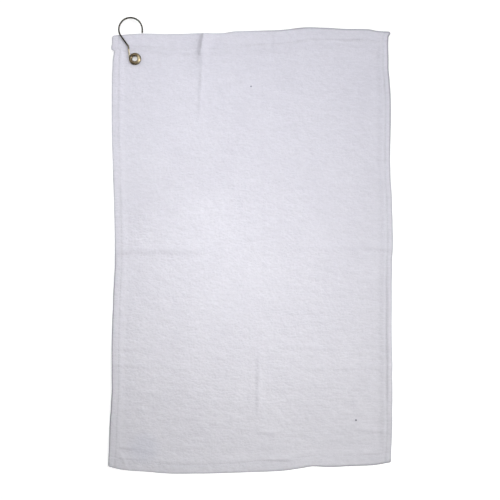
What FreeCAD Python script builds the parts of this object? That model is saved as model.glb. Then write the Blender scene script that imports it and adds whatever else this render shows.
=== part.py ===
import FreeCAD, Part
import math
import os

# A hemmed terry golf towel that lies flat, face up, with a brass grommet in one corner and a wire hook
# that swivels on the grommet. Millimetres. +Z is up, +Y runs along the towel towards the grommet, and
# the origin is on the floor under the middle of the whole outline, hook included.

# The towel
TOWEL_WIDTH = 406.4
TOWEL_LENGTH = 635.0
PANEL_THICKNESS = 2.4
HEM_THICKNESS = 3.6
TOP_HEM = 21.0
BOTTOM_HEM = 16.5
SIDE_HEM = 10.5
CORNER_RADIUS = 4.0

# The lockstitch along each hem, with a needle thread on the face and a bobbin thread on the back
STITCH_FROM_FOLD = 1.5
THREAD_WIDTH = 0.5
THREAD_HEIGHT = 0.3
GROOVE_WIDTH = 1.0
GROOVE_DEPTH = 0.45
THREAD_END_MARGIN = 2.0

# The grommet, pressed from brass sheet, and the washer that it is set over
GROMMET_FROM_SIDE = 33.5
GROMMET_FROM_TOP = 37.0
BORE_RADIUS = 3.7
BRASS_SHEET = 0.45
FLANGE_RADIUS = 8.0
FLANGE_CROWN_RADIUS = 5.6
FLANGE_CROWN_HEIGHT = 1.1
FLANGE_RIM_HEIGHT = 0.35
BEAD_BOTTOM = 0.05
BEAD_RADIUS = 0.9
WASHER_BOTTOM = 0.8
WASHER_FLAT_RADIUS = 6.6
WASHER_LIP_RISE = 0.2
WASHER_HOLE_GAP = 0.1

# The cloth round the grommet, squeezed thin
CLOTH_HOLE_GAP = 0.15
DIMPLE_FLOOR = 2.0
DIMPLE_RADIUS = 11.3
DIMPLE_SLOPE = 1.2
RECESS_SLOPE = 3.4
RECESS_GAP = 0.3

# The hook: a round wire with an eye round the grommet's barrel, a stem and an open loop
WIRE_RADIUS = 1.15
EYE_GAP = 0.25
EYE_RADIUS = 7.8
EYE_OFFSET = (0.3, -0.2)
EYE_END_DEG = 130.0
STEM_LEAN_DEG = 5.2
STEM_LENGTH = 19.0
RAMP_START = 5.8
RAMP_LENGTH = 9.0
RAMP_RISE = 1.75
DIAGONAL_LEAN_DEG = 36.2
DIAGONAL_LENGTH = 17.9
BEND_RADIUS = 8.0
LOOP_RADIUS = 17.0
TIP_LENGTH = 4.5

# Heights and places worked out from the dimensions above
EYE_Z = DIMPLE_FLOOR + EYE_GAP + WIRE_RADIUS
FLANGE_RIM_Z = EYE_Z + WIRE_RADIUS + EYE_GAP
WASHER_TOP = WASHER_BOTTOM + BRASS_SHEET
BARREL_RADIUS = BORE_RADIUS + BRASS_SHEET
STEM_LEAN = math.radians(STEM_LEAN_DEG)
DIAGONAL_LEAN = math.radians(DIAGONAL_LEAN_DEG)


def vector(x, y, z=0.0):
    return FreeCAD.Vector(x, y, z)


def leaning(length, lean):
    """A step of that length in plan, along +Y but leaning towards -X."""
    return vector(-length * math.sin(lean), length * math.cos(lean))


def on_circle(centre, radius, degrees):
    """The point of a level circle at an angle counted anticlockwise from +X."""
    turn = math.radians(degrees)
    return centre + vector(radius * math.cos(turn), radius * math.sin(turn))


def hook_plan():
    """The hook's corners in plan, as steps from the grommet's axis."""
    eye_centre = vector(*EYE_OFFSET)
    stem_foot = on_circle(eye_centre, EYE_RADIUS, 180.0 + STEM_LEAN_DEG)
    knee = stem_foot + leaning(STEM_LENGTH, STEM_LEAN)
    loop_start = knee + leaning(DIAGONAL_LENGTH, DIAGONAL_LEAN)
    loop_centre = on_circle(loop_start, LOOP_RADIUS, DIAGONAL_LEAN_DEG)
    return {
        "eye_centre": eye_centre,
        "stem_foot": stem_foot,
        "knee": knee,
        "loop_start": loop_start,
        "loop_centre": loop_centre,
    }


PLAN = hook_plan()
HOOK_REACH = PLAN["loop_centre"].y + LOOP_RADIUS + WIRE_RADIUS
HOOK_OVERHANG = HOOK_REACH - GROMMET_FROM_TOP
LEFT_X = -TOWEL_WIDTH / 2
TOP_Y = (TOWEL_LENGTH - HOOK_OVERHANG) / 2
BOTTOM_Y = TOP_Y - TOWEL_LENGTH
GROMMET = vector(LEFT_X + GROMMET_FROM_SIDE, TOP_Y - GROMMET_FROM_TOP)


def block(x0, x1, y0, y1, z0, z1):
    """A box between two corners."""
    return Part.makeBox(x1 - x0, y1 - y0, z1 - z0, vector(x0, y0, z0))


def turned(edges):
    """A closed outline in the XZ plane, turned about Z and set on the grommet's axis."""
    face = Part.Face(Part.Wire(edges))
    solid = face.revolve(vector(0, 0, 0), vector(0, 0, 1), 360)
    solid.translate(GROMMET)
    return solid


def outline(points):
    """The straight edges of a closed outline through (radius, height) points."""
    corners = [vector(r, 0, z) for r, z in points]
    return [Part.LineSegment(a, b).toShape() for a, b in zip(corners, corners[1:] + corners[:1])]


def arc(a, middle, b):
    """An arc edge through three (radius, height) points."""
    return Part.Arc(vector(a[0], 0, a[1]), vector(middle[0], 0, middle[1]), vector(b[0], 0, b[1])).toShape()


def line(a, b):
    """A straight edge between two (radius, height) points."""
    return Part.LineSegment(vector(a[0], 0, a[1]), vector(b[0], 0, b[1])).toShape()


def stitch_runs():
    """Each hem's stitch line in plan, as (hem name, x0, x1, y0, y1) round the thread's middle line."""
    half = THREAD_WIDTH / 2
    left, right = LEFT_X + THREAD_END_MARGIN, -LEFT_X - THREAD_END_MARGIN
    top_line = TOP_Y - TOP_HEM + STITCH_FROM_FOLD
    bottom_line = BOTTOM_Y + BOTTOM_HEM - STITCH_FROM_FOLD
    side_line = -LEFT_X - SIDE_HEM + STITCH_FROM_FOLD
    low = BOTTOM_Y + BOTTOM_HEM + THREAD_END_MARGIN
    high = TOP_Y - TOP_HEM - THREAD_END_MARGIN
    return [
        ("top_hem", left, right, top_line - half, top_line + half),
        ("bottom_hem", left, right, bottom_line - half, bottom_line + half),
        ("left_hem", -side_line - half, -side_line + half, low, high),
        ("right_hem", side_line - half, side_line + half, low, high),
    ]


def stitch_grooves():
    """The channels that the stitches pull into the face and the back of the hems."""
    spare = (GROOVE_WIDTH - THREAD_WIDTH) / 2
    cuts = []
    for _, x0, x1, y0, y1 in stitch_runs():
        plan = (x0 - spare, x1 + spare, y0 - spare, y1 + spare)
        cuts.append(block(*plan, HEM_THICKNESS - GROOVE_DEPTH, HEM_THICKNESS + 1.0))
        cuts.append(block(*plan, -1.0, GROOVE_DEPTH))
    return cuts


def make_threads():
    """The needle and bobbin thread of each hem, at the bottom of its groove."""
    threads = {}
    for hem, x0, x1, y0, y1 in stitch_runs():
        face_z = HEM_THICKNESS - GROOVE_DEPTH
        threads[hem + "_needle_thread"] = block(x0, x1, y0, y1, face_z, face_z + THREAD_HEIGHT)
        threads[hem + "_bobbin_thread"] = block(x0, x1, y0, y1, GROOVE_DEPTH - THREAD_HEIGHT, GROOVE_DEPTH)
    return threads


def grommet_dimple():
    """What the grommet presses out of the cloth's face, with the way through for its barrel."""
    above = HEM_THICKNESS + 1.0
    slope_end = DIMPLE_RADIUS + DIMPLE_SLOPE
    dimple = turned(outline([
        (0.0, DIMPLE_FLOOR),
        (DIMPLE_RADIUS, DIMPLE_FLOOR),
        (slope_end, PANEL_THICKNESS),
        (slope_end, above),
        (0.0, above),
    ]))
    hole = Part.makeCylinder(BARREL_RADIUS + CLOTH_HOLE_GAP, above, GROMMET)
    return dimple.fuse(hole)


def washer_recess():
    """What the washer presses out of the cloth's back."""
    lip_z = WASHER_TOP + WASHER_LIP_RISE
    return turned(outline([
        (0.0, -1.0),
        (0.0, WASHER_TOP),
        (WASHER_FLAT_RADIUS, WASHER_TOP),
        (FLANGE_RADIUS, lip_z),
        (FLANGE_RADIUS + RECESS_GAP, lip_z),
        (FLANGE_RADIUS + RECESS_GAP + RECESS_SLOPE, 0.0),
        (FLANGE_RADIUS + RECESS_GAP + RECESS_SLOPE, -1.0),
    ]))


def make_cloth():
    """One piece of terry with its four hems turned to the back, so the hems stand thicker."""
    cloth = block(LEFT_X, -LEFT_X, BOTTOM_Y, TOP_Y, 0.0, HEM_THICKNESS)
    upright = [e for e in cloth.Edges if abs(e.tangentAt(e.FirstParameter).z) > 0.9]
    cloth = cloth.makeFillet(CORNER_RADIUS, upright)
    panel_top = block(
        LEFT_X + SIDE_HEM,
        -LEFT_X - SIDE_HEM,
        BOTTOM_Y + BOTTOM_HEM,
        TOP_Y - TOP_HEM,
        PANEL_THICKNESS,
        HEM_THICKNESS + 1.0,
    )
    return cloth.cut([panel_top, grommet_dimple(), washer_recess()] + stitch_grooves())


def make_grommet():
    """A domed flange, a barrel through the cloth, and the barrel's end rolled out over the washer."""
    rim_top = FLANGE_RIM_Z + FLANGE_RIM_HEIGHT
    crown_z = FLANGE_RIM_Z + FLANGE_CROWN_HEIGHT
    bore_top, bore_bottom = (BORE_RADIUS, FLANGE_RIM_Z - 0.1), (BORE_RADIUS, BEAD_BOTTOM + BEAD_RADIUS)
    barrel_top, barrel_bottom = (BARREL_RADIUS, FLANGE_RIM_Z - 0.6), (BARREL_RADIUS, WASHER_BOTTOM)
    bead_edge = (BORE_RADIUS + 2 * BEAD_RADIUS, WASHER_BOTTOM)
    bead_foot = (BORE_RADIUS + BEAD_RADIUS, BEAD_BOTTOM)
    rim_low, rim_high = (FLANGE_RADIUS, FLANGE_RIM_Z), (FLANGE_RADIUS, rim_top)
    return turned([
        line(bore_bottom, bore_top),
        arc(bore_top, (FLANGE_CROWN_RADIUS, crown_z), rim_high),
        line(rim_high, rim_low),
        arc(rim_low, (FLANGE_CROWN_RADIUS, crown_z - BRASS_SHEET), barrel_top),
        line(barrel_top, barrel_bottom),
        line(barrel_bottom, bead_edge),
        arc(bead_edge, bead_foot, bore_bottom),
    ])


def make_washer():
    """The back washer, with its rim turned up into the cloth."""
    hole = BARREL_RADIUS + WASHER_HOLE_GAP
    return turned(outline([
        (hole, WASHER_BOTTOM),
        (WASHER_FLAT_RADIUS, WASHER_BOTTOM),
        (FLANGE_RADIUS, WASHER_BOTTOM + WASHER_LIP_RISE),
        (FLANGE_RADIUS, WASHER_TOP + WASHER_LIP_RISE),
        (WASHER_FLAT_RADIUS, WASHER_TOP),
        (hole, WASHER_TOP),
    ]))


def rounded_run(corners, radius):
    """Straight edges between corners in space, with a tangent arc of that radius at each inner corner."""
    edges, start = [], corners[0]
    for before, corner, after in zip(corners, corners[1:], corners[2:]):
        back, ahead = (before - corner).normalize(), (after - corner).normalize()
        half_turn = (math.pi - back.getAngle(ahead)) / 2
        trim = radius * math.tan(half_turn)
        sag = radius / math.cos(half_turn) - radius
        arc_start, arc_end = corner + back * trim, corner + ahead * trim
        arc_middle = corner + (back + ahead).normalize() * sag
        edges.append(Part.LineSegment(start, arc_start).toShape())
        edges.append(Part.Arc(arc_start, arc_middle, arc_end).toShape())
        start = arc_end
    edges.append(Part.LineSegment(start, corners[-1]).toShape())
    return edges


def hook_path():
    """The wire's middle line, from the end of the eye to the tip of the loop."""
    eye_level, stem_level = vector(0, 0, EYE_Z), vector(0, 0, EYE_Z + RAMP_RISE)
    eye_centre, foot = PLAN["eye_centre"] + eye_level, PLAN["stem_foot"]
    eye_stop_deg = STEM_LEAN_DEG - 180.0
    eye_start = on_circle(eye_centre, EYE_RADIUS, EYE_END_DEG)
    eye_middle = on_circle(eye_centre, EYE_RADIUS, (EYE_END_DEG + eye_stop_deg) / 2)
    stem = [
        foot + eye_level,
        foot + leaning(RAMP_START, STEM_LEAN) + eye_level,
        foot + leaning(RAMP_START + RAMP_LENGTH, STEM_LEAN) + stem_level,
        PLAN["knee"] + stem_level,
        PLAN["loop_start"] + stem_level,
    ]
    loop_centre = PLAN["loop_centre"] + stem_level
    loop_end = on_circle(loop_centre, LOOP_RADIUS, 0.0)
    loop_middle = on_circle(loop_centre, LOOP_RADIUS, (180.0 + DIAGONAL_LEAN_DEG) / 2)
    eye_edge = Part.Arc(eye_start, eye_middle, stem[0]).toShape()
    loop_edge = Part.Arc(stem[-1], loop_middle, loop_end).toShape()
    tip_edge = Part.LineSegment(loop_end, loop_end - vector(0, TIP_LENGTH)).toShape()
    return [eye_edge] + rounded_run(stem, BEND_RADIUS) + [loop_edge, tip_edge]


def make_hook():
    """The wire swept along its path, with a domed tip."""
    edges = hook_path()
    path = Part.Wire(edges)
    start = edges[0].valueAt(edges[0].FirstParameter)
    heading = edges[0].tangentAt(edges[0].FirstParameter)
    section = Part.Wire(Part.makeCircle(WIRE_RADIUS, start, heading))
    wire = path.makePipeShell([section], True, False)
    swept = math.pi * WIRE_RADIUS ** 2 * path.Length
    print(f"hook wire {path.Length:.1f} mm long, volume {wire.Volume:.2f} against {swept:.2f} mm3")
    tip = edges[-1].valueAt(edges[-1].LastParameter)
    hook = wire.fuse(Part.makeSphere(WIRE_RADIUS, tip))
    hook.translate(GROMMET)
    return hook.removeSplitter()


def main():
    os.makedirs("parts", exist_ok=True)
    nodes = {
        "towel_cloth": make_cloth(),
        "grommet": make_grommet(),
        "grommet_washer": make_washer(),
        "towel_hook": make_hook(),
    }
    nodes.update(make_threads())
    for name, shape in nodes.items():
        solid = shape.Solids[0]
        print(f"{name}: valid {solid.isValid()}, solids {len(shape.Solids)}, volume {solid.Volume:.1f} mm3")
        solid.exportStep(f"parts/{name}.step")
    print(f"grommet at {GROMMET.x:.2f}, {GROMMET.y:.2f}; towel top edge {TOP_Y:.2f}, bottom {BOTTOM_Y:.2f}")


main()
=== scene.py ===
import math

import bpy
import numpy as np
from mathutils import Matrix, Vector


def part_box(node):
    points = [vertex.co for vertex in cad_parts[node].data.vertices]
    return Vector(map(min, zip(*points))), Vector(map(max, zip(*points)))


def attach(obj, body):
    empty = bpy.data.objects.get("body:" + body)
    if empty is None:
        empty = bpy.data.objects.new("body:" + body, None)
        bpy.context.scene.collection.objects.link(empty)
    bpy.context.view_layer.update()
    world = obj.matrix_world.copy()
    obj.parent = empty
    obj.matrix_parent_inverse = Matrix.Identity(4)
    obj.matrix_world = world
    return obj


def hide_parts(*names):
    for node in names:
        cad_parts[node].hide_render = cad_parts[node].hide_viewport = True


# The looks of a terry golf towel that lies flat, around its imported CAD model. The cloth is worked out in
# millimetres, in the frame's own axes, and made in metres. Places in the materials, the lights and the
# camera are in metres. +Z is up and +Y runs towards the grommet.

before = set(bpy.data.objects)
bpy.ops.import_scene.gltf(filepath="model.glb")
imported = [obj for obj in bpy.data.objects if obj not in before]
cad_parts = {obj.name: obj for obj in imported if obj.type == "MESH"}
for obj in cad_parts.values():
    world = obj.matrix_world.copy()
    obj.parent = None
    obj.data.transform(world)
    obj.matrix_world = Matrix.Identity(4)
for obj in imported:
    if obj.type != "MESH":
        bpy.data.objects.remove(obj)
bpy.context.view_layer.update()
MM = 0.001


def corners_mm(node):
    """The lowest and highest corner of a CAD node, in millimetres."""
    low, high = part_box(node)
    return np.array(low) / MM, np.array(high) / MM


def middle_mm(node):
    """The middle of a CAD node's box, in millimetres."""
    low, high = corners_mm(node)
    return (low + high) / 2


# Places that the CAD model settles. On the flat cloth, u is the distance from its left edge and v the
# distance from its bottom edge.
CLOTH_LOW, CLOTH_HIGH = corners_mm("towel_cloth")
WIDTH, LENGTH, HEM_THICKNESS = CLOTH_HIGH - CLOTH_LOW
GROMMET_X, GROMMET_Y = middle_mm("grommet")[:2]
HOLE_FROM_LEFT = GROMMET_X - CLOTH_LOW[0]
HOLE_FROM_BOTTOM = GROMMET_Y - CLOTH_LOW[1]
TOP_STITCH = middle_mm("top_hem_needle_thread")[1] - CLOTH_LOW[1]
BOTTOM_STITCH = middle_mm("bottom_hem_needle_thread")[1] - CLOTH_LOW[1]
SIDE_STITCH = middle_mm("left_hem_needle_thread")[0] - CLOTH_LOW[0]
STITCH_FROM_FOLD = 1.5
SIDE_HEM = SIDE_STITCH + STITCH_FROM_FOLD
BOTTOM_HEM = BOTTOM_STITCH + STITCH_FROM_FOLD
TOP_HEM = LENGTH - TOP_STITCH + STITCH_FROM_FOLD

# The cloth's cross-section
PANEL_THICKNESS = 2.4
EDGE_ROLL = HEM_THICKNESS / 2
SIDE_HEM_SLOPE = 10.0
BOTTOM_HEM_SLOPE = 13.0
TOP_HEM_SLOPE = 13.0
TOP_HEM_STEEPER = 6.0
STEEPER_REACH = 70.0
TURN_UNDER_LEAD = 0.3
TURN_UNDER_SLOPE = 0.9

# The hole, and the room that the cloth leaves round it for the flange, the washer and the hook's swing
HOLE_RADIUS = 4.3
HOLE_PATCH = 12.6
TINY = 1e-6
DIMPLE_FLOOR = 2.0
DIMPLE_RISE = 0.4
DIMPLE_RADIUS = 11.3
DIMPLE_SLOPE = 1.2
RECESS_TOP = 1.5
RECESS_RADIUS = 8.3
RECESS_SLOPE = 3.4
SWING_RADIUS = 63.0
SWING_FADE = 20.0
SWING_CEILING = 3.85
SWING_SLACK = 6.0
CALM_RADIUS = 13.0
CALM_SLOPE = 25.0

# The grid's cells
PANEL_CELL = 2.05
HEM_CELL = 1.8
EDGE_CELL = 1.5
TOP_HEM_CELL = 1.3
PATCH_CELL = 1.2
HOLE_CELL = 1.1
STITCH_CELL = 0.9
STITCH_HALF = 1.8

# Degrees round the rolled edge at which the grid has a line
EDGE_TURNS = (0.0, 22.5, 45.0, 67.5)


def smooth(t):
    """A soft step from 0 at 0 to 1 at 1."""
    t = np.clip(t, 0.0, 1.0)
    return t * t * (3 - 2 * t)


def fade(distance, reach):
    """1 at no distance, falling smoothly to 0 at the reach."""
    return 1 - smooth(np.abs(distance) / reach)


def curve_through(points):
    """A smooth curve through given points that doesn't overshoot between them."""
    x, y = (np.array(column, float) for column in zip(*sorted(points)))
    steps = np.diff(x)
    slopes = np.diff(y) / steps
    product = slopes[:-1] * slopes[1:]
    total = slopes[:-1] + slopes[1:]
    inner = np.where(product > 0, 2 * product / np.where(total == 0, 1, total), 0.0)
    tangents = np.concatenate(([slopes[0]], inner, [slopes[-1]]))

    def value(at):
        at = np.clip(at, x[0], x[-1])
        i = np.clip(np.searchsorted(x, at) - 1, 0, len(steps) - 1)
        t = (at - x[i]) / steps[i]
        rise = y[i + 1] - y[i]
        start = tangents[i] * steps[i]
        end = tangents[i + 1] * steps[i]
        return y[i] + start * t + (3 * rise - 2 * start - end) * t**2 + (start + end - 2 * rise) * t**3

    return value


class Noise:
    """Smooth random relief from -1 to 1, the same on every run."""

    # Cells that the lattice has to spare, those of them before the cloth's first edge, and how far from the
    # lattice's end the last place is
    SPARE_CELLS = 8
    LEAD = 2
    LAST = 2.001

    def __init__(self, seed, cell_x, cell_y):
        self.cell = (cell_x, cell_y)
        self.shape = (int(WIDTH / cell_x) + self.SPARE_CELLS, int(LENGTH / cell_y) + self.SPARE_CELLS)
        self.values = np.random.default_rng(seed).uniform(-1, 1, self.shape)

    def __call__(self, u, v):
        gx = np.clip(u / self.cell[0] + self.LEAD, 0, self.shape[0] - self.LAST)
        gy = np.clip(v / self.cell[1] + self.LEAD, 0, self.shape[1] - self.LAST)
        i = gx.astype(int)
        j = gy.astype(int)
        fx = smooth(gx - i)
        fy = smooth(gy - j)
        low = self.values[i, j] * (1 - fx) + self.values[i + 1, j] * fx
        high = self.values[i, j + 1] * (1 - fx) + self.values[i + 1, j + 1] * fx
        return low * (1 - fy) + high * fy


# How far each edge strays outwards from the CAD rectangle, along the edge
LEFT_EDGE = curve_through([
    (0, 5.6), (30, 4.4), (60, 3.6), (86, 2.0), (118, 0.5), (185, 0.5), (220, -0.6), (270, -2.6),
    (304, -4.3), (330, -4.2), (390, -2.9), (450, -1.2), (508, 0.1), (565, 0.0), (598, -1.2),
    (613, -2.7), (614.5, -2.0), (616, 0.8), (620.5, 0.9), (623, -0.3), (631, -0.4), (635, -0.9),
])
RIGHT_EDGE = curve_through([
    (0, 0.0), (28, 1.0), (57, 2.2), (160, 2.1), (217, 1.2), (304, 1.9), (335, 3.1), (391, 1.5),
    (425, -0.4), (450, -1.3), (508, 0.0), (537, -0.1), (566, -1.8), (586, -3.6), (625, -3.8),
    (629, -2.6), (632, -1.2), (635, -0.6),
])
TOP_EDGE = curve_through([
    (0, -2.8), (18, -1.2), (48, 0.2), (80, -0.7), (133, 0.6), (161, 0.9), (183, 3.7), (211, 4.3),
    (241, 5.1), (288, 9.2), (320, 8.2), (342, 6.7), (372, 6.3), (388, 3.7), (406, 2.6),
])
BOTTOM_EDGE = curve_through([
    (0, -4.8), (22, 0.5), (57, 3.4), (92, 6.2), (133, 5.8), (183, 4.3), (218, 3.4), (248, 1.7),
    (275, -1.9), (293, -4.8), (316, -3.8), (353, -5.3), (380, -6.5), (406, -10.6),
])
EDGE_REACH = 110.0
STILL_RADIUS = 13.0
STILL_FADE = 19.0

# The edges' small unevenness. Opposite edges read it at places this far apart, so that they differ.
EDGE_WAVER = Noise(3, 17.0, 17.0)
SIDE_WAVER_SIZE = 0.25
END_WAVER_SIZE = 0.2
RIGHT_WAVER_PLACE = 200
BOTTOM_WAVER_PLACE = 300

# How far the end hems' stitches stray from the lines that follow the edges
TOP_STITCH_STRAY = curve_through([
    (0, -1.6), (50, -1.4), (80, -3.2), (120, -4.5), (165, -4.3), (215, -1.6), (262, -1.2),
    (290, 1.2), (338, 2.4), (406, 4.0),
])
BOTTOM_STITCH_STRAY = curve_through([(0, 0), (50, -0.5), (90, -2.6), (180, -2.4), (215, 0), (406, 0)])
TOP_STRAY_REACH = 18.0
BOTTOM_STRAY_REACH = 14.0

TOP_CORNER_RADIUS = 3.0
BOTTOM_CORNER_RADIUS = 2.4


def grommet_distance(x, y):
    """The distance in plan from the grommet's axis."""
    return np.hypot(x - GROMMET_X, y - GROMMET_Y)


def round_corners(u, v):
    """Turns the grid's square corners into round ones, and gives each point's distance to the outline."""
    radius = np.where(v > LENGTH / 2, TOP_CORNER_RADIUS, BOTTOM_CORNER_RADIUS)
    u_end = np.clip(np.maximum(radius - u, u - (WIDTH - radius)), 0, None)
    v_end = np.clip(np.maximum(radius - v, v - (LENGTH - radius)), 0, None)
    square = np.maximum(u_end, v_end)
    length = np.hypot(u_end, v_end)
    pull = np.where(length > 0, 1 - square / np.where(length > 0, length, 1), 0) * (square / radius) ** 2
    side_u = np.where(u < WIDTH / 2, 1.0, -1.0)
    side_v = np.where(v < LENGTH / 2, 1.0, -1.0)
    at_edge = np.minimum(np.minimum(u, WIDTH - u), np.minimum(v, LENGTH - v))
    in_corner = (u_end > 0) & (v_end > 0)
    distance = np.where(in_corner, radius - length * (1 - pull), at_edge)
    return u + side_u * u_end * pull, v + side_v * v_end * pull, np.clip(distance, 0, None)


def lay_out(u, v):
    """Where a point of the flat cloth lies in plan, as the towel's wavy edges pull it."""
    x = CLOTH_LOW[0] + u
    y = CLOTH_LOW[1] + v
    left_waver = SIDE_WAVER_SIZE * EDGE_WAVER(u * 0, v)
    right_waver = SIDE_WAVER_SIZE * EDGE_WAVER(u * 0 + RIGHT_WAVER_PLACE, v)
    top_waver = END_WAVER_SIZE * EDGE_WAVER(u, v * 0)
    bottom_waver = END_WAVER_SIZE * EDGE_WAVER(u, v * 0 + BOTTOM_WAVER_PLACE)
    left = (LEFT_EDGE(v) + left_waver) * fade(u, EDGE_REACH)
    right = (RIGHT_EDGE(v) + right_waver) * fade(WIDTH - u, EDGE_REACH)
    top = (TOP_EDGE(u) + top_waver) * fade(LENGTH - v, EDGE_REACH)
    bottom = (BOTTOM_EDGE(u) + bottom_waver) * fade(v, EDGE_REACH)
    top_stray = TOP_STITCH_STRAY(u) * fade(v - TOP_STITCH, TOP_STRAY_REACH)
    bottom_stray = BOTTOM_STITCH_STRAY(u) * fade(v - BOTTOM_STITCH, BOTTOM_STRAY_REACH)
    still = smooth((grommet_distance(x, y) - STILL_RADIUS) / STILL_FADE)
    return x + (right - left) * still, y + (top - bottom + top_stray + bottom_stray) * still


# Relief of the cloth that lies on the floor: each noise and its height. The patches vary the pile's height,
# and the puckers vary the furrows of the stitches.
PILE = Noise(11, 7.0, 3.4)
PILE_HEIGHT = 0.20
PILE_ROWS = Noise(12, 11.0, 5.5)
PILE_ROWS_HEIGHT = 0.07
LUMPS = Noise(13, 34.0, 22.0)
LUMPS_HEIGHT = 0.22
SWELLS = Noise(14, 95.0, 70.0)
SWELLS_HEIGHT = 0.35
PATCHES = Noise(17, 60.0, 80.0)
PATCHES_MEAN = 0.85
PATCHES_SPAN = 0.35
PUCKERS_X = Noise(15, 9.0, 40.0)
PUCKERS_Y = Noise(16, 40.0, 11.0)

# The crest of the pleat in the top hem
PLEAT = ((-78.0, 258.0), (-62.0, 352.0))

# Each fold climbs gently on the left of a line in plan and drops steeply on its right: the line's start and
# end, the reach of the gentle and of the steep side, and the height
FOLDS = (
    # The fold across the middle, where the towel was stored
    ((-330, -9), (-30, -9), 40.0, 9.0, 2.2),
    ((-80, -8), (120, -8), 30.0, 9.0, 0.35),
    ((20, -3), (320, -3), 30.0, 9.0, 0.6),
    # The fold down the middle
    ((18, 330), (20, 20), 20.0, 5.0, 0.35),
    ((20, 110), (21, -90), 20.0, 5.0, 0.35),
    ((11.5, -145), (9.5, -262), 14.0, 5.0, 1.3),
    # The pleat, and the pucker that runs on from it
    (*PLEAT, 4.5, 16.0, 5.2),
    ((-70, 290), (-77, 165), 8.0, 4.0, 1.6),
    # Small tucks in the top half
    ((35, 345), (33, 270), 8.0, 4.0, 0.7),
    ((-9, 228), (-6, 262), 6.0, 4.0, 0.7),
    ((-125, 258), (-121, 330), 8.0, 5.0, 0.9),
    # The right end of the fold across the middle
    ((158, -3), (214, -10), 8.0, 5.0, 1.2),
    # Small tucks near the bottom hem
    ((-198, -296), (-164, -298), 5.0, 3.0, 1.3),
    ((-180, -328), (-192, -302), 4.0, 3.0, 1.3),
    ((-172, -296), (-132, -303), 10.0, 8.0, 0.9),
    ((2, -275), (44, -275), 6.0, 3.5, 1.6),
    ((12, -314.5), (70, -314.5), 5.0, 3.0, 1.5),
    # Soft ripples across the lower half
    ((-230, -150), (-118, -152), 25.0, 8.0, 0.9),
    ((30, -148), (150, -152), 25.0, 8.0, 0.9),
    ((-230, -172), (-130, -181), 12.0, 5.0, 1.1),
    ((110, -181), (225, -180), 12.0, 5.0, 0.8),
    ((120, -246), (175, -250), 8.0, 4.0, 0.8),
    ((140, -270), (220, -276), 8.0, 4.0, 0.8),
)

# Each round ridge: its line's start and end, its width and its height
RIDGES = (
    # Along the right hem
    ((200, -10), (200, -240), 2.8, 0.7),
    # A slanting one beside it
    ((186, -190), (140, -242), 8.0, 1.7),
)
FADING_ENDS = 0.3


def line_place(x, y, start, end):
    """Distances along and to the left of a line in plan, and the line's length."""
    along = np.array(end, float) - start
    length = np.hypot(*along)
    along /= length
    s = (x - start[0]) * along[0] + (y - start[1]) * along[1]
    t = (y - start[1]) * along[0] - (x - start[0]) * along[1]
    return s, t, length


def line_share(s, length):
    """1 along the middle of a line, fading to 0 at its two ends."""
    reach = FADING_ENDS * length
    return smooth(s / reach) * smooth((length - s) / reach)


def fold(x, y, start, end, gentle, steep, height):
    """A rise that climbs gently on the line's left and drops steeply on its right."""
    s, t, length = line_place(x, y, start, end)
    profile = np.where(t > 0, np.exp(-t / gentle), fade(np.clip(-t, 0, None), steep))
    return height * profile * line_share(s, length)


def ridge(x, y, start, end, width, height):
    """A round ridge that fades at both ends."""
    s, t, length = line_place(x, y, start, end)
    return height * np.exp(-((t / width) ** 2)) * line_share(s, length)


def relief(x, y, u, v):
    """How far the face strays from its plain level, in millimetres."""
    pile = PILE_HEIGHT * PILE(u, v) + PILE_ROWS_HEIGHT * PILE_ROWS(u, v)
    rise = (PATCHES_MEAN + PATCHES_SPAN * PATCHES(u, v)) * pile
    rise = rise + LUMPS_HEIGHT * LUMPS(u, v) + SWELLS_HEIGHT * SWELLS(u, v)
    for line in FOLDS:
        rise = rise + fold(x, y, *line)
    for line in RIDGES:
        rise = rise + ridge(x, y, *line)
    return rise


# The furrow that each row of stitches pulls into the hems
DENT_REACH = 2.64
DENT_DEPTH = 0.5
DENT_UNEVEN = 0.12
BOTTOM_DENT_SHARE = 0.7
BACK_DENT_SHARE = 0.8


def stitch_dent(u, v):
    """The furrow's height, below 0, deeper in some places than in others."""
    depth = DENT_DEPTH + DENT_UNEVEN * PUCKERS_X(u, v) + DENT_UNEVEN * PUCKERS_Y(u, v)
    rows = [
        fade(u - SIDE_STITCH, DENT_REACH),
        fade(WIDTH - u - SIDE_STITCH, DENT_REACH),
        fade(v - TOP_STITCH, DENT_REACH),
        BOTTOM_DENT_SHARE * fade(v - BOTTOM_STITCH, DENT_REACH),
    ]
    return -depth * np.maximum.reduce(rows)


# How much painted shade each edge gets where the cloth turns under, along the edge, from 0 to 1
LEFT_RIM = curve_through([
    (0, 0.6), (40, 0.8), (92, 1.0), (170, 0.8), (290, 0.75), (340, 0.3), (500, 0.12), (635, 0.3),
])
RIGHT_RIM = curve_through([
    (0, 0.5), (60, 0.35), (180, 0.35), (300, 0.5), (440, 0.6), (500, 0.85), (635, 1.0),
])
TOP_RIM = curve_through([(0, 0.3), (180, 0.4), (238, 0.75), (290, 0.95), (406, 1.0)])
BOTTOM_RIM = curve_through([(0, 0.6), (20, 0.35), (92, 0.4), (280, 0.65), (406, 0.9)])
RIM_SIDE_REACH = 12.0
RIM_REACH = 3.0

# How much painted shade the stitches' furrows and the hollow under the pleat get
FURROW_PAINTED_SHADE = 0.22
FURROW_MEAN = 0.8
FURROW_SPAN = 0.5
PLEAT_PAINTED_SHADE = 0.22
PLEAT_GENTLE = 3.0
PLEAT_STEEP = 1.2


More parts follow.
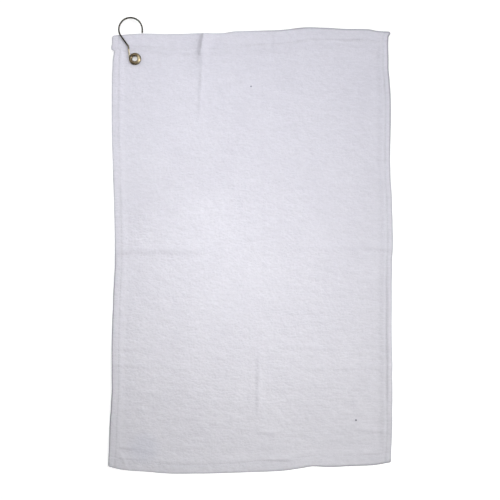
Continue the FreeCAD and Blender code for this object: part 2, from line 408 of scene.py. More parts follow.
def shade(u, v, distance):
    """Painted shade on the cloth, from 0 to 1: at the rim where it turns under, in the furrows and under the
    pleat.
    """
    strength = np.maximum.reduce([
        LEFT_RIM(v) * fade(u, RIM_SIDE_REACH),
        RIGHT_RIM(v) * fade(WIDTH - u, RIM_SIDE_REACH),
        TOP_RIM(u) * fade(LENGTH - v, RIM_SIDE_REACH),
        BOTTOM_RIM(u) * fade(v, RIM_SIDE_REACH),
    ])
    rim = strength * fade(distance, RIM_REACH)
    furrow = -FURROW_PAINTED_SHADE * stitch_dent(u, v) * (FURROW_MEAN + FURROW_SPAN * PUCKERS_X(u, v))
    s, t, length = line_place(*lay_out(u, v), *PLEAT)
    across_pleat = np.where(t > 0, np.exp(-t / PLEAT_GENTLE), fade(-t, PLEAT_STEEP))
    under = PLEAT_PAINTED_SHADE * across_pleat * smooth(s / (FADING_ENDS * length))
    return np.clip(np.maximum.reduce([rim, furrow, under]), 0, 1)


def hem_share(u, v):
    """1 on a hem, and falling to 0 over the slope beside it, which is steeper near the grommet."""
    top_slope = TOP_HEM_SLOPE - TOP_HEM_STEEPER * fade(u - HOLE_FROM_LEFT, STEEPER_REACH)
    past = [
        (u - SIDE_HEM) / SIDE_HEM_SLOPE,
        (WIDTH - SIDE_HEM - u) / SIDE_HEM_SLOPE,
        (v - BOTTOM_HEM) / BOTTOM_HEM_SLOPE,
        (LENGTH - TOP_HEM - v) / top_slope,
    ]
    return 1 - smooth(np.minimum.reduce(past))


def on_hem(u, v):
    """1 where the turned cloth of a hem lies on the back, and 0 elsewhere."""
    inside = np.minimum(
        np.minimum(u - SIDE_HEM, WIDTH - SIDE_HEM - u), np.minimum(v - BOTTOM_HEM, LENGTH - TOP_HEM - v)
    )
    return 1 - smooth((inside + TURN_UNDER_LEAD) / TURN_UNDER_SLOPE)


def leave_room(face, r):
    """Keeps the face under the hook's swing and under the grommet's flange."""
    swing = fade(np.clip(r - SWING_RADIUS, 0, None), SWING_FADE)
    ceiling = SWING_CEILING + (1 - swing) * SWING_SLACK
    face = np.where(swing > 0, np.minimum(face, ceiling), face)
    dimple = DIMPLE_FLOOR + DIMPLE_RISE * np.clip((r - DIMPLE_RADIUS) / DIMPLE_SLOPE, 0, None)
    return np.minimum(face, dimple)


def heights(u, v, distance):
    """The face's and the back's height over the floor."""
    x, y = lay_out(u, v)
    r = grommet_distance(x, y)
    calm = smooth((r - CALM_RADIUS) / CALM_SLOPE)
    dent = stitch_dent(u, v)
    face = PANEL_THICKNESS + (HEM_THICKNESS - PANEL_THICKNESS) * hem_share(u, v)
    face = leave_room(face + relief(x, y, u, v) * calm + dent, r)
    recess = RECESS_TOP * (1 - smooth((r - RECESS_RADIUS) / RECESS_SLOPE))
    back = np.clip(face - PANEL_THICKNESS, 0.0, None) * (1 - on_hem(u, v))
    back = np.maximum(back, recess) - BACK_DENT_SHARE * dent
    roll = np.sqrt(np.clip(1 - ((EDGE_ROLL - distance) / EDGE_ROLL) ** 2, 0, 1))
    roll = np.where(distance < EDGE_ROLL, roll, 1.0)
    middle = np.where(distance < EDGE_ROLL, EDGE_ROLL, 0.5 * (face + back))
    return middle + (face - middle) * roll, middle + (back - middle) * roll


def grid_lines(stops, cells):
    """Lines between given stops, with an even number of cells in each stretch."""
    out = [stops[0]]
    for low, high, cell in zip(stops[:-1], stops[1:], cells):
        count = 2 * max(1, round((high - low) / cell / 2))
        out += list(np.linspace(low, high, count + 1)[1:])
    return np.array(out)


def with_rolls(inner, total):
    """Adds the closer lines of the rolled edge at both ends."""
    roll = [EDGE_ROLL * (1 - math.cos(math.radians(turn))) for turn in EDGE_TURNS]
    return np.concatenate((roll, inner, [total - step for step in reversed(roll)]))


def around(middle):
    """The three stops at a row of stitches."""
    return [middle - STITCH_HALF, middle, middle + STITCH_HALF]


def hole_stops(middle):
    """The four stops at the hole and the fine patch round it."""
    return [middle - HOLE_PATCH, middle - HOLE_RADIUS, middle + HOLE_RADIUS, middle + HOLE_PATCH]


def across_lines():
    """The grid's lines from the left edge to the right edge."""
    stops = [EDGE_ROLL, *around(SIDE_STITCH), *hole_stops(HOLE_FROM_LEFT)]
    stops += [*around(WIDTH - SIDE_STITCH), WIDTH - EDGE_ROLL]
    cells = [EDGE_CELL, STITCH_CELL, STITCH_CELL, HEM_CELL, PATCH_CELL, HOLE_CELL, PATCH_CELL]
    cells += [PANEL_CELL, STITCH_CELL, STITCH_CELL, EDGE_CELL]
    return with_rolls(grid_lines(stops, cells), WIDTH)


def along_lines():
    """The grid's lines from the bottom edge to the top edge."""
    stops = [EDGE_ROLL, *around(BOTTOM_STITCH), *hole_stops(HOLE_FROM_BOTTOM)]
    stops += [*around(TOP_STITCH), LENGTH - EDGE_ROLL]
    cells = [HEM_CELL, STITCH_CELL, STITCH_CELL, PANEL_CELL, PATCH_CELL, HOLE_CELL, PATCH_CELL]
    cells += [TOP_HEM_CELL, STITCH_CELL, STITCH_CELL, HEM_CELL]
    return with_rolls(grid_lines(stops, cells), LENGTH)


def round_hole(u, v):
    """Pulls the grid's lines round the hole, so that the square left out of the grid becomes round."""
    du = u - HOLE_FROM_LEFT
    dv = v - HOLE_FROM_BOTTOM
    square = np.maximum(np.abs(du), np.abs(dv))
    length = np.hypot(du, dv)
    inside = (square < HOLE_PATCH - TINY) & (length > 0)
    share = 1 - smooth((square - HOLE_RADIUS) / (HOLE_PATCH - HOLE_RADIUS))
    scale = np.where(inside, 1 - share * (1 - square / np.where(length > 0, length, 1)), 1.0)
    return HOLE_FROM_LEFT + du * scale, HOLE_FROM_BOTTOM + dv * scale


class Hole:
    """The grid lines that bound the square left out of the grid."""

    def __init__(self, across, along):
        self.left, self.right = self.side_lines(across, HOLE_FROM_LEFT)
        self.low, self.high = self.side_lines(along, HOLE_FROM_BOTTOM)

    @staticmethod
    def side_lines(lines, middle):
        """The numbers of the lines on the hole's two sides."""
        return [int(np.argmin(np.abs(lines - middle - side * HOLE_RADIUS))) for side in (-1, 1)]

    def has(self, i, j):
        """Whether the cell after lines i and j is in the hole."""
        return self.left <= i < self.right and self.low <= j < self.high


class BackPoints:
    """The back's points, under the face's lines that it uses. At the rim they are the face's own points."""

    def __init__(self, numbers, x, y, z):
        self.numbers = numbers
        self.places = np.stack((x, y, z), -1)
        self.found = {}

    def number(self, i, j):
        """The number of the point under lines i and j, which is a new one at its first use."""
        columns, rows = self.numbers.shape
        if i in (0, columns - 1) or j in (0, rows - 1):
            return self.numbers[i, j]
        return self.found.setdefault((i, j), columns * rows + len(self.found))

    def points(self):
        """The places of the points that are only the back's, in the order of their numbers."""
        return np.array([self.places[key] for key in self.found])


def face_loops(numbers, hole):
    """The face's squares, one for each cell of the grid."""
    columns, rows = numbers.shape
    loops = []
    for i in range(columns - 1):
        for j in range(rows - 1):
            if not hole.has(i, j):
                loops.append((numbers[i, j], numbers[i + 1, j], numbers[i + 1, j + 1], numbers[i, j + 1]))
    return loops


def back_loop(i, j, numbers, back):
    """One square of the back, two cells wide, with the face's point between where it meets the rim."""
    columns, rows = numbers.shape
    loop = [back.number(i, j)]
    if i == 0:
        loop.append(numbers[0, j + 1])
    loop.append(back.number(i, j + 2))
    if j + 2 == rows - 1:
        loop.append(numbers[i + 1, rows - 1])
    loop.append(back.number(i + 2, j + 2))
    if i + 2 == columns - 1:
        loop.append(numbers[columns - 1, j + 1])
    loop.append(back.number(i + 2, j))
    if j == 0:
        loop.append(numbers[i + 1, 0])
    return tuple(loop)


def back_loops(numbers, back, hole):
    """All the back's squares."""
    columns, rows = numbers.shape
    cells = [(i, j) for i in range(0, columns - 1, 2) for j in range(0, rows - 1, 2)]
    return [back_loop(i, j, numbers, back) for i, j in cells if not hole.has(i, j)]


def wall_loop(places, numbers, back):
    """A piece of the hole's wall: three points of the face's ring, and two of the back's coarser one."""
    first, between, last = places
    return numbers[first], numbers[between], numbers[last], back.number(*last), back.number(*first)


def hole_wall_loops(numbers, back, hole):
    """The hole's wall, side by side."""
    places = []
    for i in range(hole.left, hole.right, 2):
        places.append([(i + step, hole.low) for step in (2, 1, 0)])
        places.append([(i + step, hole.high) for step in (0, 1, 2)])
    for j in range(hole.low, hole.high, 2):
        places.append([(hole.left, j + step) for step in (0, 1, 2)])
        places.append([(hole.right, j + step) for step in (2, 1, 0)])
    return [wall_loop(three, numbers, back) for three in places]


def drop_unused(loops, count):
    """Which points the loops use, and the loops with those points' new numbers."""
    used = np.zeros(count, bool)
    for loop in loops:
        used[list(loop)] = True
    renumber = np.cumsum(used) - 1
    return used, [tuple(int(renumber[k]) for k in loop) for loop in loops]


def make_object(name, points, faces, body, material):
    """A mesh piece from points in millimetres, on its body and with its material."""
    mesh = bpy.data.meshes.new(name)
    mesh.from_pydata([tuple(p) for p in np.asarray(points) * MM], [], faces)
    mesh.polygons.foreach_set("use_smooth", [True] * len(mesh.polygons))
    mesh.materials.append(material)
    mesh.validate()
    mesh.update()
    piece = bpy.data.objects.new(name, mesh)
    bpy.context.scene.collection.objects.link(piece)
    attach(piece, body)
    return piece


def make_towel(material):
    """One closed sheet: a fine grid on the face, one with every second line on the back, one shared rim."""
    across = across_lines()
    along = along_lines()
    hole = Hole(across, along)
    u, v = round_hole(*np.meshgrid(across, along, indexing="ij"))
    u, v, distance = round_corners(u, v)
    x, y = lay_out(u, v)
    face_z, back_z = heights(u, v, distance)
    numbers = np.arange(u.size).reshape(u.shape)
    back = BackPoints(numbers, x, y, back_z)
    loops = face_loops(numbers, hole)
    loops += back_loops(numbers, back, hole)
    loops += hole_wall_loops(numbers, back, hole)
    back_points = back.points()
    points = np.concatenate((np.stack((x, y, face_z), -1).reshape(-1, 3), back_points))
    shades = np.concatenate((shade(u, v, distance).ravel(), np.zeros(len(back_points))))
    used, loops = drop_unused(loops, len(points))
    towel = make_object("towel_sheet", points[used], loops, "towel", material)
    # The painted shade at the rims, in the furrows and under the pleat, which the terry's colour reads
    attribute = towel.data.attributes.new("shade", "FLOAT", "POINT")
    attribute.data.foreach_set("value", shades[used])
    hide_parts("towel_cloth")
    return towel


# Each stitch is a thread of a few rings of points, which arches over the cloth and dips into it at both ends
STITCH_PITCH = 2.6
STITCH_GAP = 0.35
STITCH_WANDER = 0.09
STITCH_ARCH = 0.30
STITCH_DIP = 0.16
THREAD_RADIUS = 0.24
THREAD_END_SHARE = 0.72
THREAD_OVER_FLOOR = 0.02
STITCH_RINGS = 5
STITCH_SIDES = 6
FAR_FROM_EDGE = 10.0


def stitch_path(u, v, on_face):
    """The bent middle line of one stitch, and the direction that it runs in at each point."""
    arch = STITCH_ARCH * np.sin(np.pi * np.linspace(0, 1, STITCH_RINGS)) - STITCH_DIP
    face, back = heights(u, v, np.full(len(u), FAR_FROM_EDGE))
    z = np.maximum(face + arch if on_face else back - arch, THREAD_RADIUS + THREAD_OVER_FLOOR)
    x, y = lay_out(u, v)
    heading = np.stack((np.gradient(x), np.gradient(y)), -1)
    heading /= np.linalg.norm(heading, axis=1)[:, None]
    return np.stack((x, y, z), -1), heading


def add_thread(points, faces, path, heading):
    """Adds a closed tube along a stitch's middle line, thinner at both ends."""
    first = len(points)
    last = first + (STITCH_RINGS - 1) * STITCH_SIDES
    for ring, ((x, y, z), (ahead_x, ahead_y)) in enumerate(zip(path, heading)):
        radius = THREAD_RADIUS * (THREAD_END_SHARE if ring in (0, STITCH_RINGS - 1) else 1.0)
        for side in range(STITCH_SIDES):
            turn = 2 * math.pi * side / STITCH_SIDES
            out = radius * math.cos(turn)
            points.append((x - ahead_y * out, y + ahead_x * out, z + radius * math.sin(turn)))
    for ring_start in range(first, last, STITCH_SIDES):
        for side in range(STITCH_SIDES):
            a = ring_start + side
            b = ring_start + (side + 1) % STITCH_SIDES
            faces.append((a + STITCH_SIDES, b + STITCH_SIDES, b, a))
    faces.append(tuple(range(first, first + STITCH_SIDES)))
    faces.append(tuple(range(last + STITCH_SIDES - 1, last - 1, -1)))


def make_stitches(name, start, end, on_face, material):
    """A row of lockstitches, each a short bent thread whose two ends dip into the cloth."""
    start = np.array(start, float)
    end = np.array(end, float)
    length = np.hypot(*(end - start))
    along = (end - start) / length
    count = int(round(length / STITCH_PITCH))
    pitch = length / count
    draw = np.random.default_rng(sum(map(ord, name)))
    shares = np.linspace(0, 1, STITCH_RINGS)
    points = []
    faces = []
    for k in range(count):
        wander = draw.normal(0, STITCH_WANDER, 2)
        at = k * pitch + STITCH_GAP / 2 + shares * (pitch - STITCH_GAP)
        side = wander[0] + (wander[1] - wander[0]) * shares
        u = start[0] + along[0] * at - along[1] * side
        v = start[1] + along[1] * at + along[0] * side
        add_thread(points, faces, *stitch_path(u, v, on_face))
    piece = make_object(name + "_stitches", points, faces, "towel", material)
    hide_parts(name)
    return piece


def make_all_stitches(material):
    """The four hems' needle and bobbin threads, each as long as its CAD node."""
    out = []
    for hem in ("top_hem", "bottom_hem", "left_hem", "right_hem"):
        for thread in ("needle", "bobbin"):
            node = f"{hem}_{thread}_thread"
            low, high = (corner[:2] - CLOTH_LOW[:2] for corner in corners_mm(node))
            middle = (low + high) / 2
            if high[0] - low[0] > high[1] - low[1]:
                ends = ((low[0], middle[1]), (high[0], middle[1]))
            else:
                ends = ((middle[0], low[1]), (middle[0], high[1]))
            out.append(make_stitches(node, *ends, thread == "needle", material))
    return out


# A spot's soft edge, in shares of its radius
SPOT_OUTSIDE = 1.3
SPOT_INSIDE = 0.6


class Graph:
    """A node tree, with a short way to add each kind of node that the materials use."""

    def __init__(self, tree):
        self.nodes = tree.nodes
        self.links = tree.links

    def feed(self, socket, value):
        """Gives a socket a number, a colour or another node's output."""
        if isinstance(value, (int, float)):
            socket.default_value = value
        elif isinstance(value, tuple):
            socket.default_value = (*value, 1.0)
        else:
            self.links.new(value, socket)

    def object_place(self):
        """The place on the object, in metres."""
        return self.nodes.new("ShaderNodeTexCoord").outputs["Object"]

    def stretched(self, stretch):
        """The place on the object, multiplied along each axis. Less than 1 stretches a noise."""
        mapping = self.nodes.new("ShaderNodeMapping")
        mapping.inputs["Scale"].default_value = stretch
        self.feed(mapping.inputs["Vector"], self.object_place())
        return mapping.outputs["Vector"]

    def axes(self, vector):
        """A vector's parts along X, Y and Z."""
        split = self.nodes.new("ShaderNodeSeparateXYZ")
        self.feed(split.inputs["Vector"], vector)
        return split.outputs["X"], split.outputs["Y"], split.outputs["Z"]

    def measure(self, operation, other=None):
        """One number worked out from the place on the object, and from another vector if one is given."""
        node = self.nodes.new("ShaderNodeVectorMath")
        node.operation = operation
        self.feed(node.inputs[0], self.object_place())
        if other is not None:
            node.inputs[1].default_value = other
        return node.outputs["Value"]

    def noise(self, vector, scale, detail=2.0, roughness=0.5):
        node = self.nodes.new("ShaderNodeTexNoise")
        node.inputs["Scale"].default_value = scale
        node.inputs["Detail"].default_value = detail
        node.inputs["Roughness"].default_value = roughness
        self.feed(node.inputs["Vector"], vector)
        return node.outputs["Fac"]

    def cells(self, vector, scale):
        """The distance to the nearest of many scattered points."""
        node = self.nodes.new("ShaderNodeTexVoronoi")
        node.inputs["Scale"].default_value = scale
        self.feed(node.inputs["Vector"], vector)
        return node.outputs["Distance"]

    def math(self, operation, first, second, clamp=False):
        node = self.nodes.new("ShaderNodeMath")
        node.operation = operation
        node.use_clamp = clamp
        self.feed(node.inputs[0], first)
        self.feed(node.inputs[1], second)
        return node.outputs[0]

    def span(self, value, low, high, to_low=0.0, to_high=1.0):
        """Stretches a value's span to another, and holds it at both ends."""
        node = self.nodes.new("ShaderNodeMapRange")
        for name, number in (("Value", value), ("From Min", low), ("From Max", high),
                             ("To Min", to_low), ("To Max", to_high)):
            self.feed(node.inputs[name], number)
        return node.outputs["Result"]

    def mix(self, share, first, second, blend="MIX"):
        node = self.nodes.new("ShaderNodeMix")
        node.data_type = "RGBA"
        node.blend_type = blend
        sockets = {socket.identifier: socket for socket in node.inputs}
        for key, value in (("Factor_Float", share), ("A_Color", first), ("B_Color", second)):
            self.feed(sockets[key], value)
        return {socket.identifier: socket for socket in node.outputs}["Result_Color"]

    def bump(self, height, strength, distance, after=None):
        node = self.nodes.new("ShaderNodeBump")
        self.feed(node.inputs["Strength"], strength)
        self.feed(node.inputs["Distance"], distance)
        self.feed(node.inputs["Height"], height)
        if after is not None:
            self.feed(node.inputs["Normal"], after)
        return node.outputs["Normal"]

    def spot(self, place, radius):
        """1 within a small spot with a soft edge round a place, and 0 outside."""
        return self.span(self.measure("DISTANCE", place), radius * SPOT_OUTSIDE, radius * SPOT_INSIDE)

    def attribute(self, name):
        node = self.nodes.new("ShaderNodeAttribute")
        node.attribute_name = name
        return node.outputs["Fac"]


def new_material(name):
    """A material, its graph and its shader's sockets."""
    material = bpy.data.materials.new(name)
    material.use_nodes = True
    return material, Graph(material.node_tree), material.node_tree.nodes["Principled BSDF"].inputs


# Terry's tones, from light to dark
TERRY_LIGHT = (0.600, 0.600, 0.651)
TERRY_MIDDLE = (0.575, 0.575, 0.628)
TERRY_GRAIN = (0.53, 0.53, 0.585)
# Painted shade between the loops
LOOP_PAINTED_SHADE = (0.48, 0.48, 0.54)
# Painted shade at the rims, in the stitches' furrows and under the pleat
PAINTED_SHADE = (0.12, 0.12, 0.14)
WEAVE_TONE = (0.955, 0.955, 0.955)
DRIFT_TONE = (0.968, 0.968, 0.968)
TINT_AT_BOTTOM = (0.990, 0.977, 0.953)
TINT_AT_TOP = (0.988, 0.977, 0.995)

# How the terry's noises are stretched, and how fine they are, in features to a metre
EVEN = (1.0, 1.0, 1.0)
ROWS = (0.62, 1.0, 1.0)
COLUMNS = (1.0, 0.5, 1.0)
WEAVE = (0.40, 1.0, 1.0)
DRIFTS = (0.33, 1.0, 1.0)
DRAWN_THREADS = (0.12, 1.0, 1.0)
TONE_SCALE = 16.0
CLOUD_SCALE = 90.0
DRIFT_SCALE = 160.0
TUFT_SCALE = 200.0
BAND_SCALE = 320.0
DRAWN_SCALE = 330.0
WEAVE_SCALE = 400.0
END_SCALE = 420.0
GRAIN_SCALE = 560.0
LOOP_SCALE = 900.0

# A patch of painted shade where a shallow hollow would be, and specks on the cloth: place, radius and colour
HOLLOW_PAINTED_SHADE = ((-0.156, -0.298, 0.0024), 0.021, (0.42, 0.44, 0.53))
HOLLOW_SHADE_SHARE = 0.30
SPECKS = (
    ((-0.0006, 0.2287, 0.0024), 0.0012, (0.17, 0.17, 0.22)),
    ((0.1522, -0.2572, 0.0024), 0.0013, (0.04, 0.04, 0.07)),
)


def terry_tone(graph, rows, grain, loops):
    """The clean cloth's colour: soft tones, grain, the weave's streaks and painted shade between the loops.
    """
    tone = graph.noise(graph.stretched(EVEN), TONE_SCALE, 3.0)
    weave = graph.noise(graph.stretched(WEAVE), WEAVE_SCALE, 1.0)
    drifts = graph.noise(graph.stretched(DRIFTS), DRIFT_SCALE, 1.0)
    colour = graph.mix(graph.span(tone, 0.35, 0.65), TERRY_MIDDLE, TERRY_LIGHT)
    colour = graph.mix(graph.span(grain, 0.3, 0.7, 0.0, 0.5), colour, TERRY_GRAIN)
    colour = graph.mix(graph.span(weave, 0.36, 0.64), colour, WEAVE_TONE, "MULTIPLY")
    colour = graph.mix(graph.span(drifts, 0.36, 0.64), colour, DRIFT_TONE, "MULTIPLY")
    # Painted shade between the loops
    return graph.mix(graph.span(loops, 0.25, 0.75, 0.0, 0.35), colour, LOOP_PAINTED_SHADE)


def terry_marks(graph, colour, along):
    """Adds painted shade at the rims, in the furrows and under the pleat, a patch of painted shade where a
    shallow hollow would be, two tiny specks and the slow change of tint.
    """
    # Painted shade at the rims, in the furrows and under the pleat
    colour = graph.mix(graph.attribute("shade"), colour, PAINTED_SHADE)
    # A patch of painted shade where a shallow hollow would be
    place, radius, hollow_shade_colour = HOLLOW_PAINTED_SHADE
    hollow_shade = graph.math("MULTIPLY", graph.spot(place, radius), HOLLOW_SHADE_SHARE)
    colour = graph.mix(hollow_shade, colour, hollow_shade_colour)
    for place, radius, speck_colour in SPECKS:
        colour = graph.mix(graph.spot(place, radius), colour, speck_colour)
    tint = graph.mix(graph.span(along, -0.25, 0.25), TINT_AT_BOTTOM, TINT_AT_TOP)
    return graph.mix(1.0, colour, tint, "MULTIPLY")


def terry_strengths(graph, across, along):
    """How strong the pile's relief, its drawn threads and its clouds are over the towel."""
    smoother_right = graph.span(across, -0.02, 0.17, 0.88, 0.40)
    smoother_top = graph.span(along, 0.08, 0.28, 1.0, 0.65)
    smoother_bottom = graph.span(along, -0.10, -0.25, 1.0, 0.6)
    pile = graph.math("MULTIPLY", graph.math("MULTIPLY", smoother_right, smoother_top), smoother_bottom)
    drawn_right = graph.span(across, -0.15, 0.15, 0.3, 1.0)
    drawn_bottom = graph.span(along, 0.0, -0.25, 0.2, 0.9)
    cloudy_bottom = graph.span(along, 0.05, -0.20, 0.65, 1.0)
    cloudy_left = graph.span(across, 0.0, 0.20, 1.0, 0.55)
    drawn = graph.math("MULTIPLY", drawn_right, drawn_bottom)
    cloudy = graph.math("MULTIPLY", cloudy_bottom, cloudy_left)
    return pile, drawn, cloudy


def terry_relief(graph, rows, grain, loops, across, along):
    """The pile's fine relief, rougher in some parts of the towel than in others."""
    pile, drawn, cloudy = terry_strengths(graph, across, along)
    # Each layer's height, its strength and its depth in metres
    layers = (
        (graph.noise(rows, CLOUD_SCALE, 2.0), cloudy, 0.0015),
        (graph.noise(rows, TUFT_SCALE, 1.0), pile, 0.0006),
        (graph.noise(graph.stretched(DRAWN_THREADS), DRAWN_SCALE, 1.0), drawn, 0.0004),
        (graph.noise(rows, BAND_SCALE, 1.0), pile, 0.0009),
        (graph.noise(graph.stretched(COLUMNS), END_SCALE, 1.0), pile, 0.0004),
        (grain, pile, 0.0005),
        (loops, 0.5, 0.0003),
    )
    normal = None
    for height, strength, depth in layers:
        normal = graph.bump(height, strength, depth, normal)
    return normal


def terry_material():
    """Terry: rows of small loops that lean this way and that, in soft uneven bands."""
    material, graph, shader = new_material("terry_cloth")
    rows = graph.stretched(ROWS)
    grain = graph.noise(rows, GRAIN_SCALE, 1.0)
    loops = graph.cells(rows, LOOP_SCALE)
    across, along, _ = graph.axes(graph.object_place())
    tone = terry_tone(graph, rows, grain, loops)
    graph.feed(shader["Base Color"], terry_marks(graph, tone, along))
    graph.feed(shader["Roughness"], graph.span(grain, 0.3, 0.7, 0.9, 1.0))
    graph.feed(shader["Specular IOR Level"], 0.15)
    graph.feed(shader["Sheen Weight"], 0.2)
    graph.feed(shader["Sheen Roughness"], 0.6)
    graph.feed(shader["Normal"], terry_relief(graph, rows, grain, loops, across, along))
    return material


THREAD_LIGHT = (0.62, 0.62, 0.67)
THREAD_MIDDLE = (0.50, 0.50, 0.55)
THREAD_DARK = (0.46, 0.46, 0.52)
FIBRE_SCALE = 2600.0
THREAD_TONE_SCALE = 60.0


def thread_material():
    """Sewing thread: fine fibres, with slow changes of tone along it."""
    material, graph, shader = new_material("sewing_thread")
    plain = graph.stretched(EVEN)
    fibres = graph.noise(plain, FIBRE_SCALE)
    tone = graph.noise(plain, THREAD_TONE_SCALE)
    colour = graph.mix(fibres, THREAD_MIDDLE, THREAD_LIGHT)
    colour = graph.mix(graph.span(tone, 0.4, 0.7, 0.0, 0.3), colour, THREAD_DARK)
    graph.feed(shader["Base Color"], colour)
    graph.feed(shader["Roughness"], graph.span(fibres, 0.3, 0.7, 0.55, 0.8))
    graph.feed(shader["Sheen Weight"], 0.15)
    graph.feed(shader["Normal"], graph.bump(fibres, 0.5, 0.0001))
    return material


# The two brasses. The roughness goes from the bright parts' to the tarnished parts'. The painted highlight,
# a lighter patch where a lamp's glint falls, has its place measured from the grommet's axis at the floor.
GROMMET_FINISH = {
    "bright": (0.15, 0.115, 0.07),
    "dark": (0.055, 0.040, 0.026),
    "roughness_span": (0.22, 0.34),
    "painted_highlight_place": (0.0068, -0.0005, 0.005),
    "painted_highlight_radius": 0.0048,
    "painted_highlight_colour": (0.43, 0.355, 0.225),
}
HOOK_FINISH = {
    "bright": (0.055, 0.047, 0.032),
    "dark": (0.024, 0.020, 0.014),
    "roughness_span": (0.16, 0.28),
    "painted_highlight_place": (-0.006, 0.003, 0.004),
    "painted_highlight_radius": 0.015,
    "painted_highlight_colour": (0.34, 0.30, 0.22),
}
SCRATCH_STRETCH = (1.0, 6.0, 3.0)
SCRATCH_SCALE = 1500.0
TARNISH_SCALE = 210.0


def metal_material(name, bright, dark, roughness_span, painted_highlight_place, painted_highlight_radius, painted_highlight_colour):
    """Brass with cloudy tarnish and fine drawn scratches, and a lighter patch that is a painted highlight.
    """
    material, graph, shader = new_material(name)
    tarnish = graph.noise(graph.stretched(EVEN), TARNISH_SCALE, 4.0, 0.6)
    scratches = graph.noise(graph.stretched(SCRATCH_STRETCH), SCRATCH_SCALE)
    colour = graph.mix(graph.span(tarnish, 0.42, 0.68), bright, dark)
    right, up, height = painted_highlight_place
    place = (GROMMET_X * MM + right, GROMMET_Y * MM + up, height)
    # A lighter patch of brass: a painted highlight where a lamp's glint falls
    graph.feed(shader["Base Color"], graph.mix(graph.spot(place, painted_highlight_radius), colour, painted_highlight_colour))
    tarnish_roughness = graph.span(tarnish, 0.3, 0.7, *roughness_span)
    scratch_roughness = graph.span(scratches, 0.3, 0.7, -0.04, 0.06)
    graph.feed(shader["Roughness"], graph.math("ADD", tarnish_roughness, scratch_roughness, clamp=True))
    graph.feed(shader["Metallic"], 1.0)
    graph.feed(shader["Normal"], graph.bump(scratches, 0.12, 0.00005))
    return material


# Stage, light and camera
FLOOR_SIZE = 90.0
FLOOR_DROP = 0.0002
FLOOR_LIGHT = (0.73, 0.73, 0.73)
FLOOR_DARK = (0.71, 0.71, 0.71)
FLOOR_TONE_SCALE = 3.0
GLOW_TOWARDS = (-0.6, -0.8, 0.0)
WHITE = (1.0, 1.0, 1.0)


def floor_material():
    """A pale floor that glows a little where the lamps are weak, so that it is evenly white."""
    material, graph, shader = new_material("pale_floor")
    tone = graph.noise(graph.stretched(EVEN), FLOOR_TONE_SCALE)
    near_glow = graph.span(graph.measure("DOT_PRODUCT", GLOW_TOWARDS), -0.20, 0.50, 0.28, 0.50)
    far_glow = graph.span(graph.measure("LENGTH"), 1.0, 3.0, 0.0, 0.50)
    graph.feed(shader["Base Color"], graph.mix(tone, FLOOR_DARK, FLOOR_LIGHT))
    graph.feed(shader["Roughness"], 0.9)
    graph.feed(shader["Specular IOR Level"], 0.0)
    graph.feed(shader["Emission Color"], WHITE)
    graph.feed(shader["Emission Strength"], graph.math("ADD", near_glow, far_glow))
    return material


def make_floor():
    """A floor so wide that its edges are far off in every view."""
    half = FLOOR_SIZE / 2
    corners = [(-half, -half, 0), (half, -half, 0), (half, half, 0), (-half, half, 0)]
    mesh = bpy.data.meshes.new("floor")
    mesh.from_pydata(corners, [], [(0, 1, 2, 3)])
    mesh.materials.append(floor_material())
    floor = bpy.data.objects.new("floor", mesh)
    floor.location.z = -FLOOR_DROP
    bpy.context.scene.collection.objects.link(floor)


# Softboxes round the towel: name, place, size and watts
SOFTBOXES = (
    ("softbox_north", (0.0, 1.75, 1.45), (2.4, 1.2), 20),
    ("softbox_south", (0.0, -1.75, 1.45), (1.6, 1.0), 2),
    ("softbox_west", (-1.75, 0.05, 1.45), (1.1, 1.2), 9),
    ("softbox_east", (1.75, 0.05, 1.45), (1.1, 1.2), 40),
)

# Pools of light from high over the top left corner: name, middle, radius and watts
POOL_PLACE = (-0.25, 0.35, 2.4)
POOL_LAMP_RADIUS = 0.22
POOLS = (
    ("pool_all", (0.00, 0.00, 0.0), 0.75, 38),
    ("pool_top", (-0.18, 0.29, 0.0), 0.40, 60),
    ("pool_middle", (-0.035, -0.025, 0.0), 0.30, 130),
    ("pool_bottom", (0.03, -0.26, 0.0), 0.20, 72),
)


def place_lamp(name, light, place, aim):
    """Hangs a light at a place and turns it to what it lights."""
    lamp = bpy.data.objects.new(name, light)
    lamp.location = place
    lamp.rotation_euler = (Vector(aim) - Vector(place)).to_track_quat("-Z", "Y").to_euler()
    bpy.context.scene.collection.objects.link(lamp)


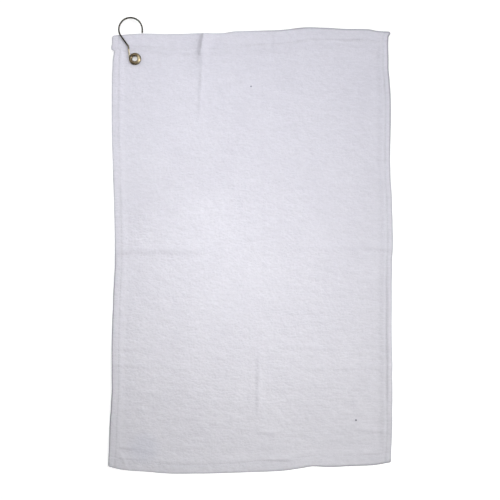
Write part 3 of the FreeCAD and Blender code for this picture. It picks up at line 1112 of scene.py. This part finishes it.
def softbox(name, place, size, watts):
    """A wide soft lamp that points at the towel's middle."""
    light = bpy.data.lights.new(name, "AREA")
    light.shape = "RECTANGLE"
    light.size, light.size_y = size
    light.energy = watts
    place_lamp(name, light, place, (0, 0, 0))


def pool(name, aim, radius, watts):
    """A soft-edged pool of light round a place."""
    light = bpy.data.lights.new(name, "SPOT")
    throw = (Vector(aim) - Vector(POOL_PLACE)).length
    light.spot_size = 2 * math.atan(radius / throw)
    light.spot_blend = 1.0
    light.shadow_soft_size = POOL_LAMP_RADIUS
    light.energy = watts
    place_lamp(name, light, POOL_PLACE, aim)


def make_world():
    """A grey studio, lighter near the horizon than overhead."""
    world = bpy.data.worlds.new("studio")
    bpy.context.scene.world = world
    world.use_nodes = True
    graph = Graph(world.node_tree)
    background = graph.nodes["Background"].inputs
    direction = graph.nodes.new("ShaderNodeTexCoord").outputs["Generated"]
    upwards = graph.axes(direction)[2]
    graph.feed(background["Strength"], graph.span(upwards, 0.10, 0.35, 0.25, 0.06))
    graph.feed(background["Color"], WHITE)


def light_scene():
    """All the lamps and the world."""
    for lamp in SOFTBOXES:
        softbox(*lamp)
    for lamp in POOLS:
        pool(*lamp)
    make_world()


# Straight down over the middle of the picture, from far enough to look almost flat
CAMERA_PLACE = (-0.0021, -0.0095, 1.4180)
CAMERA_LENS = 70.0
CAMERA_SENSOR = 36.0


def make_camera():
    """The camera, which looks straight down with no turn of its own."""
    data = bpy.data.cameras.new("camera")
    data.lens = CAMERA_LENS
    data.sensor_width = CAMERA_SENSOR
    camera = bpy.data.objects.new("camera", data)
    camera.location = CAMERA_PLACE
    bpy.context.scene.collection.objects.link(camera)
    bpy.context.scene.camera = camera


def paint(node, material):
    """Gives a CAD node that stays in sight its finish."""
    node_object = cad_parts[node]
    for material_slot in node_object.material_slots:
        material_slot.material = material


towel = make_towel(terry_material())
stitches = make_all_stitches(thread_material())
brass = metal_material("bright_brass", **GROMMET_FINISH)
paint("grommet", brass)
paint("grommet_washer", brass)
wire = metal_material("hook_brass", **HOOK_FINISH)
paint("towel_hook", wire)

make_floor()
light_scene()
make_camera()
bpy.context.scene.view_settings.view_transform = "Standard"
